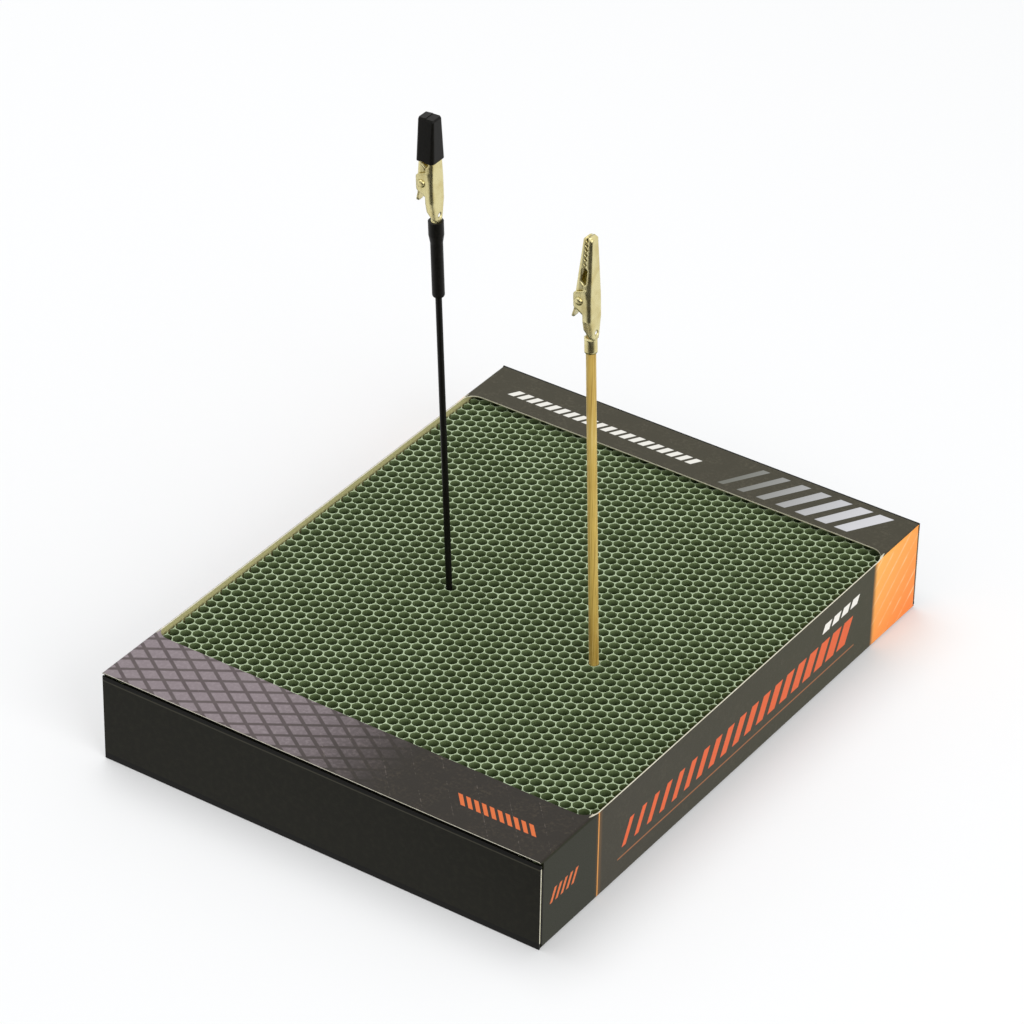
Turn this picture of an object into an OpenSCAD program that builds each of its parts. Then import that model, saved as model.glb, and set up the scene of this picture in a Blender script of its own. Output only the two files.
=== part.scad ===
// Painting clip stand: a folded card carton with a window in its top holds a block of
// tubular honeycomb, and clips on rods stand in the cells of the block.
// Millimetres. X runs across the carton, Y from its front end to its rear end, Z up.
// The origin is the middle of the carton's underside.

/* [Carton] */
// Width of the carton
box_w = 150; // [140:1:160]
// Length of the carton, front end to rear end
box_l = 200; // [190:1:210]
// Height of the carton
box_h = 30; // [29:0.5:34]
// Thickness of the folded card
board = 0.5; // [0.4:0.05:0.6]
// Outside radius of the long folds
fold_r = 0.9; // [0.7:0.1:1.2]
// Room between two pieces of card at a crease
fold_gap = 0.05; // [0.03:0.01:0.08]
// Depth of the front strip of the top panel
front_strip = 23.5; // [20:0.5:30]
// Depth of the rear strip of the top panel
rear_strip = 19; // [15:0.5:25]
// Corner radius of the window
window_r = 4.5; // [2:0.5:8]
// How far the sides are cut down beside the window
side_cut = 0.6; // [0.5:0.05:0.8]
// Height of the glue flap inside the left side
glue_h = 14; // [8:1:20]
// How far an end panel stops short of the carton's side
panel_inset = 0.2; // [0.1:0.1:0.5]

/* [Flaps] */
// Length of the front tuck flap
front_tuck_l = 12; // [9:0.5:13]
// Room between the front tuck flap and the strip above it
front_tuck_room = 0.8; // [0.75:0.05:1]
// Length of the rear tuck flap
rear_tuck_l = 8; // [6:0.5:8]
// Room between the rear tuck flap and the bottom panel
rear_tuck_room = 0.35; // [0.3:0.05:0.5]
// How far a tuck flap's crease stops short of the carton's side
tuck_inset = 8; // [6:0.5:12]
// Radius of a tuck flap's free corners
tuck_r = 7; // [3:0.5:8]
// Length of a dust flap
dust_l = 28; // [20:1:34]
// Slope of the dust flap's edge on the hinged side of its end panel, in degrees
dust_taper = 15.5; // [15.5:0.5:20]
// Slope of the dust flap's other edge, in degrees
dust_slope = 4; // [2:0.5:8]
// Room above and below a dust flap at its crease
dust_room = 1; // [0.8:0.1:1.5]
// Corner radius of a dust flap
dust_r = 3; // [1:0.5:4]

/* [Honeycomb] */
// Least wall between neighbouring cells
cell_wall = 0.5; // [0.3:0.05:2]
// Room between the block and the front tuck flap above it
core_room = 0.3; // [0.2:0.05:2]
// Room between the block and the card round it
core_gap = 0.25; // [0.2:0.05:0.6]
// Least wall between a cell and the block's side
core_edge = 0.1; // [0.1:0.05:0.5]
// Step by which every other column of cells is shorter at each end
column_step = 0.04; // [0.02:0.01:0.1]
// Shift of the cell pattern across the block
cells_x = 0.35; // [0:0.05:1]
// Shift of the cell pattern along the block
cells_y = -0.65; // [-1:0.05:0]

/* [Rods] */
// Diameter of the black rod
rod_d = 1.9; // [1.5:0.05:2.2]
// Diameter of the bamboo stick
stick_d = 2.85; // [2.4:0.05:2.85]
// Play of the bamboo stick in a cell, which sets the cells' diameter
stick_play = 0.15; // [0.1:0.01:0.16]
// Diameter of the stick's sharpened point
point_d = 1.15; // [0.7:0.05:1.6]
// Room left where a leaning rod meets the wall of its cell
lean_gap = 0.04; // [0.02:0.01:0.1]
// Column and row of the black rod's cell
rod_cell = [-7, -2]; // [-20:1:20]
// Column and row of the bamboo stick's cell
stick_cell = [11, -4]; // [-20:1:20]
// Compass direction of both leans, counted from the X axis
lean_az = 214; // [0:1:360]
// Room between a rod's foot and the bottom panel
foot_gap = 0.1; // [0.05:0.05:0.2]
// Height of the clip pivot on the black rod
rod_pivot_z = 164.1; // [120:0.5:180]
// Height of the clip pivot on the bamboo stick
stick_pivot_z = 149.4; // [110:0.5:180]
// Length of the shrink sleeve
sleeve_l = 24.5; // [15:0.5:30]
// Wall of the shrink sleeve
sleeve_t = 0.85; // [0.5:0.05:1]
// How far the shrink sleeve stops short of the barrel's upper end
sleeve_back = 0.3; // [0.2:0.1:1]
// How far a rod stops short of its barrel's upper end
rod_back = 0.4; // [0.2:0.1:1]

/* [Clips] */
// Thickness of the clip's sheet metal
sheet = 0.4; // [0.3:0.05:0.5]
// Length of the jaws, pivot to tip
jaw_l = 19.6; // [17:0.1:24]
// Length of the fixed jaw's channel below the pivot
heel_l = 12.2; // [11:0.1:15]
// Width of the fixed jaw at the pivot
jaw_w = 6.2; // [6:0.1:7]
// Width of the fixed jaw at its tip
tip_w = 3.4; // [3:0.1:4.5]
// Depth of the fixed jaw's channel at the pivot
jaw_d = 2.5; // [2.2:0.1:2.8]
// Depth of the fixed jaw's channel at its tip
tip_d = 1.5; // [1.2:0.1:1.8]
// Radius of the channel's bent edges
bend_r = 1.1; // [0.8:0.1:1.3]
// Distance of the pivot from the fixed jaw's back
pivot_in = 3.7; // [3.5:0.1:4.2]
// Distance of the moving jaw's back from the pivot
moving_rise = 1.9; // [1.7:0.1:2.2]
// How far the ears that carry the pivot reach past it
ear_reach = 1.7; // [1.5:0.1:1.8]
// Half the length of an ear along the jaw
ear_half = 2.9; // [2.4:0.1:3.2]
// Length over which the channel narrows to its heel
heel_taper = 6.1; // [6:0.1:7]
// Height of the slanting cut at the channel's heel
heel_cut = 3.2; // [2.6:0.1:3.8]
// Diameter of the pivot rivet
rivet_d = 1.2; // [1:0.1:1.4]
// Diameter of the rivet's heads
rivet_head_d = 2.7; // [2:0.1:2.9]
// Height of the rivet's heads
rivet_head_h = 0.45; // [0.3:0.05:0.6]
// Length of the thumb tail below the pivot
tail_l = 7; // [5.5:0.1:7.5]
// How far the thumb tail flares out from the moving jaw
tail_flare = 1.5; // [1:0.1:1.8]
// Height above the pivot at which the teeth start
tooth_z = 10.8; // [9:0.1:12]
// Number of teeth on each jaw
teeth = 6; // [4:1:8]
// Depth of the recess between the ears and the teeth
recess = 0.9; // [0.6:0.1:1]
// Depth of a tooth
tooth_h = 0.5; // [0.3:0.05:0.6]
// Length of the crimped barrel
barrel_l = 4.6; // [3.5:0.1:7]
// Diameter of the hole in the fixed jaw's back
heel_hole_d = 1.5; // [1:0.1:1.8]
// Height of that hole above the channel's heel
heel_hole_z = 1.6; // [1.4:0.1:2.5]
// Length of the neck between the channel and the barrel
neck_l = 0.2; // [0.1:0.05:0.4]
// Wire of the torsion spring
spring_wire = 0.4; // [0.35:0.05:0.45]
// Radius of the torsion spring's coil, at the middle of the wire
spring_r = 0.95; // [0.95:0.05:1.05]
// Distance between the turns of the spring
spring_pitch = 0.9; // [0.88:0.02:1]
// Side clearance between the moving jaw and the fixed jaw's ears
jaw_clear = 0.1; // [0.08:0.01:0.15]
// Gap between the closed jaws
bite_gap = 0.1; // [0.05:0.05:0.2]
// Radial clearance of the moving jaw on the rivet
pivot_clear = 0.05; // [0.02:0.01:0.08]
// Radial room of a pressed or crimped fit
press_clear = 0.02; // [0.01:0.01:0.05]

/* [Tip covers] */
// Height above the pivot at which the rubber tip covers start
cover_z = 6.7; // [6:0.1:9]
// Wall of the tip covers
cover_t = 0.45; // [0.3:0.05:0.6]
// Angle at which the covered jaws rest on each other, in degrees
cover_open = 4; // [3.5:0.1:6]
// Room between a cover and its jaw, and between the two covers
cover_gap = 0.06; // [0.04:0.01:0.1]

/* [Hidden] */
$fn = 48;
over = 1;       // how far a cut runs past the face it opens
slab = 0.01;    // thickness of the sections that a jaw is drawn over
weld = 0.005;   // how far neighbouring columns of cells run into each other
third_gap = 0.01; // gap between the thirds of the block
ear_corner = 1.2; // radius of an ear's corners
tail_knee = 0.55; // share of the thumb tail's length at which it bends
knee_flare = 0.3; // share of the tail's flare that is reached there

card_col = "#1b1917";
core_col = "#5d7d52";
metal_col = "#cfc39b";
rubber_col = "#17171a";

// Carton levels, from the outside in
panel_y = box_l / 2 - board;                    // inner face of an end panel
dust_y = panel_y - 2 * fold_gap;                // outer face of a dust flap
side_y = dust_y - board - fold_gap;             // end of a side panel
strip_z = box_h - board;                        // underside of the top strips
front_tuck_z = strip_z - front_tuck_room - board;
rear_tuck_z = board + rear_tuck_room;
tuck_w = box_w - 2 * tuck_inset;
panel_w = box_w - 2 * panel_inset;

// The block stands on the rear tuck flap, beside the glue flap
core_x0 = -box_w / 2 + 2 * board + core_gap;
core_x1 = box_w / 2 - board - core_gap;
core_l = 2 * (side_y - core_gap);
core_z = rear_tuck_z + board + fold_gap;
core_h = front_tuck_z - core_room - core_z;
core_top = core_z + core_h;
lattice_x = (core_x0 + core_x1) / 2 + cells_x;
cell_d = stick_d + stick_play;
cell_pitch = cell_d + cell_wall;
col_pitch = cell_pitch * sqrt(3) / 2;
core_rows = ceil(core_l / 2 / cell_pitch);
first_col = ceil((core_x0 + core_edge + cell_d / 2 - lattice_x) / col_pitch);
last_col = floor((core_x1 - core_edge - cell_d / 2 - lattice_x) / col_pitch);
function third_col(k) = first_col + round(k * (last_col + 1 - first_col) / 3);
function even(i) = i - 2 * floor(i / 2) == 0;
function cell(i, j) = [lattice_x + i * col_pitch, cells_y + (j + (even(i) ? 0 : 0.5)) * cell_pitch];

// The loose rod leans about the middle of its cell, the tight stick about the mouth of its cell,
// and each leans until it meets the cell's wall
rod_z = core_z + core_h / 2;
stick_z = core_top - core_gap;
foot_z = board + foot_gap;
rod_lean = atan((cell_d - rod_d - 2 * lean_gap) / core_h);
stick_lean = atan((cell_d - point_d - 2 * lean_gap) / 2 / (stick_z - foot_z));

// Clip sizes: x = 0 is the fixed jaw's back, z = 0 the pivot
barrel_top = -heel_l - neck_l;
barrel_bottom = barrel_top - barrel_l;
rod_barrel_r = rod_d / 2 + press_clear + sheet;
stick_barrel_r = stick_d / 2 + press_clear + sheet;
rod_end = barrel_top - rod_back;
inner_w = jaw_w - 2 * (sheet + jaw_clear);      // moving jaw between the ears
inner_tip_w = tip_w - 2 * jaw_clear;
moving_d = pivot_in + moving_rise;              // moving jaw's back at the pivot
moving_tip_d = 2 * tip_d + bite_gap;            // moving jaw's back at the tip
straight_z = 1;                                 // the jaws taper above this height
tooth_pitch = (jaw_l - tooth_z) / teeth;
recess_z = ear_half + 2 * straight_z;
ear_x = -pivot_in - ear_reach;                  // an ear's edge
spring_turns = 2;

// Points on an arc round c, from angle a to angle b
function arc(c, r, a, b, n = 6) =
  [for (i = [0 : n]) c + r * [cos(a + (b - a) * i / n), sin(a + (b - a) * i / n)]];

// A rectangle with round corners, from corner p to corner q
function rounded(p, q, r) = concat(
  arc([q[0] - r, q[1] - r], r, 0, 90), arc([p[0] + r, q[1] - r], r, 90, 180),
  arc([p[0] + r, p[1] + r], r, 180, 270), arc([q[0] - r, p[1] + r], r, 270, 360));

// Linear change of a size from a at height za to b at height zb
function between(z, za, a, zb, b) = a + (b - a) * (z - za) / (zb - za);

// Carries a drawing in X and Z along Y from y0 to y1
module along_y(y0, y1) translate([0, y1, 0]) rotate([90, 0, 0]) linear_extrude(y1 - y0) children();

// Carries a drawing in Y and Z along X from x0 to x1
module along_x(x0, x1) translate([x0, 0, 0]) rotate([90, 0, 90]) linear_extrude(x1 - x0) children();

// A box between two corners
module block(p, q) translate(p) cube(q - p);

// Tips what stands upright at a cell into its lean
module leaning(at, z, angle)
  translate([at[0], at[1], z]) rotate(a = angle, v = [-sin(lean_az), cos(lean_az), 0])
    translate([-at[0], -at[1], -z]) children();

// Sheet of card round four sides, open at both ends, with a window in the top
module carton_sleeve() color(card_col) {
  far_x = box_w / 2 + over;
  far_y = box_l / 2 + over;
  difference() {
    along_y(-box_l / 2, box_l / 2) difference() {
      polygon(rounded([-box_w / 2, 0], [box_w / 2, box_h], fold_r));
      polygon(rounded([-box_w / 2 + board, board], [box_w / 2 - board, strip_z], fold_r - board));
    }
    block([-far_x, -far_y, -over], [far_x, -panel_y + fold_gap, strip_z]);
    block([-far_x, -far_y, board], [far_x, -side_y, strip_z]);
    block([-far_x, panel_y - fold_gap, board], [far_x, far_y, box_h + over]);
    block([-far_x, side_y, board], [far_x, far_y, strip_z]);
    translate([0, 0, strip_z - fold_r]) linear_extrude(box_h)
      polygon(rounded([-box_w / 2 + board, -box_l / 2 + front_strip],
                      [box_w / 2 - board, box_l / 2 - rear_strip], window_r));
    for (x = [-far_x, box_w / 2 - fold_r]) along_x(x, x + fold_r + over) polygon([
      [-box_l / 2 + front_strip, box_h], [-box_l / 2 + front_strip + window_r, box_h - side_cut],
      [box_l / 2 - rear_strip - window_r, box_h - side_cut], [box_l / 2 - rear_strip, box_h],
      [box_l / 2 - rear_strip, box_h + over], [-box_l / 2 + front_strip, box_h + over]]);
  }
  block([-box_w / 2 + board, -side_y, board], [-box_w / 2 + 2 * board, side_y, board + glue_h]);
}

// Outline of an end panel whose tuck flap is creased at height z, with a shoulder beside the crease
module end_panel_outline(z_hinge, z_crease, z_shoulder)
  polygon([
    [-panel_w / 2, z_hinge], [-panel_w / 2, z_shoulder], [-tuck_w / 2, z_shoulder],
    [-tuck_w / 2, z_crease], [tuck_w / 2, z_crease], [tuck_w / 2, z_shoulder],
    [panel_w / 2, z_shoulder], [panel_w / 2, z_hinge]]);

// Tuck flap lying flat, creased along y = 0 and reaching length l
module tuck_flap_outline(l) {
  half = tuck_w / 2 - 2 * fold_gap;
  polygon(concat([[-half, 0], [half, 0]],
    arc([half - tuck_r, l - tuck_r], tuck_r, 0, 90), arc([-half + tuck_r, l - tuck_r], tuck_r, 90, 180)));
}

module front_end_panel() color(card_col)
  along_y(-box_l / 2, -panel_y)
    end_panel_outline(0, front_tuck_z - fold_gap, front_tuck_z + board);

module front_tuck_flap() color(card_col)
  translate([0, -box_l / 2, front_tuck_z]) linear_extrude(board) tuck_flap_outline(front_tuck_l + board);

module rear_end_panel() color(card_col)
  along_y(panel_y, box_l / 2)
    end_panel_outline(box_h, rear_tuck_z + board + fold_gap, rear_tuck_z);

module rear_tuck_flap() color(card_col)
  translate([0, box_l / 2, rear_tuck_z]) linear_extrude(board)
    mirror([0, 1]) tuck_flap_outline(rear_tuck_l + board);

// Dust flap creased along x = 0, between heights z0 and z1 there, with its edges drawn in by two slopes
module dust_flap_outline(z0, z1, low, high) {
  x = dust_l - dust_r;
  polygon(concat([[0, z1], [0, z0]],
    arc([x, z0 + dust_l * tan(low) + dust_r], dust_r, -90, 0),
    arc([x, z1 - dust_l * tan(high) - dust_r], dust_r, 0, 90)));
}

module front_dust_flap() {
  z1 = front_tuck_z - dust_room;
  along_y(-dust_y, -dust_y + board)
    dust_flap_outline(board + dust_room, z1, dust_taper, dust_slope);
}

module rear_dust_flap() {
  z0 = rear_tuck_z + board + dust_room;
  along_y(dust_y - board, dust_y)
    dust_flap_outline(z0, strip_z - dust_room, dust_slope, dust_taper);
}

module front_dust_flap_left() color(card_col) translate([-box_w / 2, 0, 0]) front_dust_flap();
module front_dust_flap_right() color(card_col) translate([box_w / 2, 0, 0]) mirror([1, 0, 0]) front_dust_flap();
module rear_dust_flap_left() color(card_col) translate([-box_w / 2, 0, 0]) rear_dust_flap();
module rear_dust_flap_right() color(card_col) translate([box_w / 2, 0, 0]) mirror([1, 0, 0]) rear_dust_flap();

// Columns of round cells, welded side by side with every other one shifted by half a cell.
// The block is drawn in thirds, which lie face to face.
module honeycomb(third) color(core_col) {
  i0 = third_col(third);
  i1 = third_col(third + 1) - 1;
  for (i = [i0 : i1]) {
    x = cell(i, 0)[0];
    half = col_pitch / 2 + (even(i) ? weld : 0);
    edge = (col_pitch - third_gap) / 2;
    x0 = i == first_col ? core_x0 : x - (i == i0 ? edge : half);
    x1 = i == last_col ? core_x1 : x + (i == i1 ? edge : half);
    step = even(i) ? 0 : column_step;
    translate([0, 0, core_z + step]) linear_extrude(core_h - 2 * step) difference() {
      translate([x0, -core_l / 2]) square([x1 - x0, core_l]);
      for (j = [-core_rows : core_rows])
        if (abs(cell(i, j)[1]) + cell_d / 2 + core_edge < core_l / 2)
          translate(cell(i, j)) circle(d = cell_d, $fn = 24);
    }
  }
}

module honeycomb_left() honeycomb(0);
module honeycomb_middle() honeycomb(1);
module honeycomb_right() honeycomb(2);

module black_rod() color("#141416")
  leaning(cell(rod_cell[0], rod_cell[1]), rod_z, rod_lean)
    translate(concat(cell(rod_cell[0], rod_cell[1]), foot_z))
      cylinder(d = rod_d, h = rod_pivot_z + rod_end - foot_z);

// Bamboo skewer: sharpened inside its cell, its top pared to fit the barrel
module bamboo_stick() color("#c9a765")
  leaning(cell(stick_cell[0], stick_cell[1]), stick_z, stick_lean)
    translate(concat(cell(stick_cell[0], stick_cell[1]), 0))
      rotate_extrude() polygon([
        [0, foot_z], [point_d / 2, foot_z], [stick_d / 2, core_top - core_gap],
        [stick_d / 2, stick_pivot_z + rod_end], [0, stick_pivot_z + rod_end]]);

// Puts clip A, drawn from its back and pivot, on the black rod
module on_rod() {
  at = cell(rod_cell[0], rod_cell[1]);
  leaning(at, rod_z, rod_lean) translate([at[0] + rod_barrel_r, at[1], rod_pivot_z]) children();
}

// Puts clip B on the bamboo stick
module on_stick() {
  at = cell(stick_cell[0], stick_cell[1]);
  leaning(at, stick_z, stick_lean) translate([at[0] + stick_barrel_r, at[1], stick_pivot_z]) children();
}

// Turns what belongs to the moving jaw about the pivot
module opened(angle)
  translate([-pivot_in, 0, 0]) rotate([0, -angle, 0]) translate([pivot_in, 0, 0]) children();

// Soft tube shrunk over the rod's end and the clip's barrel
module shrink_sleeve() color(rubber_col) {
  top = barrel_top - sleeve_back;
  bottom = top - sleeve_l;
  step = barrel_bottom - press_clear;
  r0 = rod_d / 2 + press_clear;
  r1 = rod_barrel_r + press_clear;
  on_rod() translate([-rod_barrel_r, 0, 0]) rotate_extrude() polygon(concat(
    [[r0, bottom], [r0, step], [r1, step], [r1, top]],
    [[r1 + sleeve_t, top], [r1 + sleeve_t, step], [r0 + sleeve_t, step - 3 * sleeve_t]],
    arc([r0, bottom + sleeve_t], sleeve_t, 0, -90)));
}

// Section of a jaw's channel: its back at x = 0 with bent edges, its open side at x = -d
function channel(w, d, r) = concat(
  [[-d, -w / 2]], arc([-r, -w / 2 + r], r, -90, 0), arc([-r, w / 2 - r], r, 0, 90), [[-d, w / 2]]);

module section(z, w, d, r) translate([0, 0, z]) linear_extrude(slab) polygon(channel(w, d, r));

// Width of the fixed jaw and depth of its open side at height z
function fixed_w(z) = between(z, straight_z, jaw_w, jaw_l, tip_w);
function fixed_d(z) = between(z, straight_z, jaw_d, jaw_l, tip_d);

// Solid envelope of the fixed jaw's channel, grown by g and opened past its edge by e
module fixed_envelope(g, e) {
  tip_r = bend_r * tip_w / jaw_w;
  hull() {
    translate([g, 0, 0]) section(-heel_l, jaw_w - 2 * bend_r + 2 * g, jaw_d + g + e, bend_r + g);
    translate([g, 0, 0]) section(-heel_l + heel_taper, jaw_w + 2 * g, jaw_d + g + e, bend_r + g);
    translate([g, 0, 0]) section(straight_z, jaw_w + 2 * g, jaw_d + g + e, bend_r + g);
    translate([g - tip_r, 0, 0]) section(jaw_l - slab + g, tip_w + 2 * g - tip_r, tip_d + g + e - tip_r, tip_r);
    translate([g, 0, 0]) section(jaw_l - tip_r + g, tip_w + 2 * g, tip_d + g + e, tip_r + g);
  }
}

// Solid envelope of the moving jaw's channel: its back faces away from the fixed jaw
module moving_envelope(g, e) {
  tip_r = bend_r * inner_tip_w / inner_w;
  d = moving_d - jaw_d - bite_gap;
  d_tip = moving_tip_d - tip_d - bite_gap;
  mirror([1, 0, 0]) hull() {
    translate([moving_d + g, 0, 0]) section(-straight_z - bend_r, inner_w + 2 * g, d + g + e, bend_r + g);
    translate([moving_d + g, 0, 0]) section(straight_z, inner_w + 2 * g, d + g + e, bend_r + g);
    translate([moving_tip_d + g, 0, 0])
      section(jaw_l - tip_r + g, inner_tip_w + 2 * g, d_tip + g + e, tip_r + g);
    translate([moving_tip_d + g - tip_r, 0, 0])
      section(jaw_l - slab + g, inner_tip_w + 2 * g - tip_r, d_tip + g + e - tip_r, tip_r);
  }
}

// Row of notches that leaves the teeth on an edge from x = a at the row's start to x = b at the tip
module teeth_cut(a, b, side)
  for (i = [0 : teeth - 1]) {
    z = tooth_z + i * tooth_pitch;
    x = between(z, tooth_z, a, jaw_l, b);
    along_y(-jaw_w, jaw_w) polygon([
      [x - side * over, z], [x, z], [x + side * tooth_h, z + tooth_pitch / 2], [x, z + tooth_pitch],
      [x - side * over, z + tooth_pitch]]);
  }

// Recess in an edge between the ears, where the edge lies at x = a, and the teeth, where it lies at x = b
module recess_cut(a, b, side)
  along_y(-jaw_w, jaw_w) polygon([
    [a - side * over, recess_z], [a, recess_z], [a + side * recess, recess_z + recess],
    [b + side * recess, tooth_z - recess], [b, tooth_z], [b - side * over, tooth_z]]);

// Sheet-metal channel with ears for the pivot, a hole near its heel and a barrel crimped on the rod
module fixed_jaw(barrel_r) {
  neck = bend_r;
  skin = sheet / 10;
  difference() {
    union() {
      fixed_envelope(0, 0);
      for (s = [-1, 1]) mirror([0, s < 0 ? 1 : 0, 0]) along_y(jaw_w / 2 - sheet, jaw_w / 2)
        polygon(concat([[-jaw_d / 2, ear_half + straight_z]],
          arc([ear_x + ear_corner, ear_half - ear_corner], ear_corner, 90, 180),
          arc([ear_x + ear_corner, -ear_half + ear_corner], ear_corner, 180, 270),
          [[-jaw_d / 2, -ear_half - 2 * straight_z]]));
    }
    translate([0, 0, -sheet]) fixed_envelope(-sheet, 2 * pivot_in);
    block([-jaw_d - over, -jaw_w, -heel_l - over], [-sheet, jaw_w, -heel_l + sheet]);
    along_y(-jaw_w, jaw_w) polygon([
      [-2 * sheet, -heel_l - over], [-2 * sheet, -heel_l + sheet],
      [-jaw_d - over, between(-jaw_d - over, -2 * sheet, -heel_l + sheet, -jaw_d, -heel_l + heel_cut)],
      [-jaw_d - over, -heel_l - over]]);
    translate([-pivot_in, 0, 0]) rotate([90, 0, 0])
      cylinder(d = rivet_d + 2 * press_clear, h = 2 * jaw_w, center = true);
    translate([0, 0, -heel_l + heel_hole_z]) rotate([0, 90, 0])
      cylinder(d = heel_hole_d, h = 3 * sheet, center = true);
    teeth_cut(-fixed_d(tooth_z), -tip_d, 1);
    recess_cut(-fixed_d(recess_z), -fixed_d(tooth_z), 1);
  }
  block([-sheet + skin, -neck, barrel_top - neck_l], [-skin, neck, -heel_l + sheet]);
  translate([-barrel_r, 0, barrel_bottom]) difference() {
    cylinder(r = barrel_r, h = barrel_l);
    translate([0, 0, -over]) cylinder(r = barrel_r - sheet, h = barrel_l + 2 * over);
    block([-barrel_r - over, -sheet / 2, -over], [0, sheet / 2, barrel_l + over]);
  }
}

// Profile of the thumb tail's bent sheet, seen from the side
module tail_profile() {
  knee = [-moving_d - tail_flare * knee_flare, -tail_l * tail_knee];
  end = [-moving_d - tail_flare, -tail_l];
  polygon([
    [-moving_d, -straight_z], knee, end,
    end + [sheet, 0], knee + [sheet, 0], [-moving_d + sheet, -straight_z]]);
}

// Channel that nests between the ears and turns on the rivet, with a flared thumb tail
module moving_jaw() {
  edge = jaw_d + bite_gap;
  difference() {
    union() {
      difference() {
        moving_envelope(0, 0);
        translate([0, 0, -sheet]) moving_envelope(-sheet, 2 * pivot_in);
        block([-moving_d + sheet, -inner_w / 2 + sheet, -tail_l], [0, inner_w / 2 - sheet, straight_z]);
      }
      intersection() {
        along_y(-inner_w / 2 + bend_r / 2, inner_w / 2 - bend_r / 2) tail_profile();
        along_x(-2 * moving_d, 0) polygon(rounded(
          [-inner_w / 2 + bend_r / 2, -tail_l], [inner_w / 2 - bend_r / 2, bend_r], bend_r * 1.5));
      }
    }
    translate([-pivot_in, 0, 0]) rotate([90, 0, 0])
      cylinder(d = rivet_d + 2 * pivot_clear, h = 2 * jaw_w, center = true);
    teeth_cut(-fixed_d(tooth_z) - bite_gap, -tip_d - bite_gap, -1);
    recess_cut(-fixed_d(recess_z) - bite_gap, -fixed_d(tooth_z) - bite_gap, -1);
  }
}

// Rivet with two domed heads, peened over the ears
module pivot_rivet() {
  r = rivet_head_d / 2;
  y = jaw_w / 2 + press_clear;
  dome = [for (a = [0 : 15 : 90]) [r * cos(a), y + rivet_head_h * sin(a)]];
  outline = concat([[0, 0], [rivet_d / 2, 0], [rivet_d / 2, y]], dome);
  translate([-pivot_in, 0, 0]) for (s = [-90, 90]) rotate([s, 0, 0]) rotate_extrude() polygon(outline);
}

// Path of the torsion spring: a leg up from the fixed jaw's back, the coil, and a leg down to the
// thumb tail of a jaw that rests open by an angle
spring_in_a = 20;    // lean of the leg that rests on the fixed jaw's back
spring_out_a = 8.6;   // lean of the leg that rests on the closed jaw's thumb tail
spring_reach = 0.7;  // share of the tail's length that this leg reaches down to
spring_steps = 8 * spring_turns + 4;
spring_in_x = pivot_in - sheet - spring_wire / 2 - 2 * press_clear;
spring_in_l = (spring_in_x - spring_r * cos(spring_in_a)) / sin(spring_in_a);
spring_out_l = tail_l * spring_reach;
function spring_turn(open) = 360 * spring_turns + 180 - spring_in_a - spring_out_a + open;
function spring_at(t, turn) = let (a = spring_in_a + t * turn)
  [-pivot_in + spring_r * cos(a), spring_pitch * turn / 360 * (t - 0.5), spring_r * sin(a)];
function spring_path(open) = let (turn = spring_turn(open), out_a = spring_out_a - open) concat(
  [spring_at(0, turn) + spring_in_l * [sin(spring_in_a), 0, -cos(spring_in_a)]],
  [for (i = [0 : spring_steps]) spring_at(i / spring_steps, turn)],
  [spring_at(1, turn) + spring_out_l * [-sin(out_a), 0, -cos(out_a)]]);
function path_gap(path) = min([for (i = [0 : len(path) - 1], j = [i + 5 : 1 : len(path) - 1])
  norm(path[i] - path[j])]) - spring_wire;
echo(spring_gap = min(path_gap(spring_path(0)), path_gap(spring_path(cover_open))));

// Round tube of six sides swept along a path whose turns lie across Y
module tube(path, d) {
  n = len(path);
  sides = 6;
  function unit(v) = v / norm(v);
  function ahead(i) = unit(path[min(i + 1, n - 1)] - path[max(i - 1, 0)]);
  function out(i) = unit(cross(ahead(i), [0, 1, 0]));
  points = [for (i = [0 : n - 1], k = [0 : sides - 1])
    let (u = out(i), v = cross(u, ahead(i)))
      path[i] + d / 2 * (cos(k * 360 / sides) * u + sin(k * 360 / sides) * v)];
  walls = [for (i = [0 : n - 2], k = [0 : sides - 1], h = [0, 1])
    let (a = i * sides + k, b = i * sides + (k + 1) % sides)
      h == 0 ? [a, b + sides, b] : [a, a + sides, b + sides]];
  caps = [[for (k = [0 : sides - 1]) k], [for (k = [sides - 1 : -1 : 0]) (n - 1) * sides + k]];
  polyhedron(points, concat(walls, caps));
}

module clip_spring(open) tube(spring_path(open), spring_wire);

// How far a cover's inner face stands off its jaw's edge at height z: the covers meet half-way
function cover_pad(z) = z * tan(cover_open / 2) + bite_gap / 2 - cover_gap / 2;

// Section of a tip cover at height z round a jaw of width w, from its back at x = b to its edge at x = e
module cover_section(z, w, b, e, inset, r)
  translate([b + sign(b - e) * (cover_t - inset), 0, 0]) mirror([b < e ? 1 : 0, 0, 0])
    section(z, w + 2 * (cover_t - inset), abs(b - e) + cover_t + cover_pad(z) - inset, r);

// Outer form of a tip cover: each size is given where the cover starts and at the jaw's tip
module cover_form(w, b, e) {
  z1 = jaw_l + cover_t;
  r = bend_r * tip_w / jaw_w;
  hull() {
    cover_section(cover_z, w[0], b[0], e[0], 0, bend_r);
    cover_section(z1 - r, w[1], b[1], e[1], 0, r);
    cover_section(z1, w[1], b[1], e[1], r / 2, r / 2);
  }
}

// Rubber boot drawn over the fixed jaw
module cover_fixed() difference() {
  cover_form([fixed_w(cover_z), tip_w], [0, 0], [-fixed_d(cover_z), -tip_d]);
  fixed_envelope(cover_gap, cover_gap);
}

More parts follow.
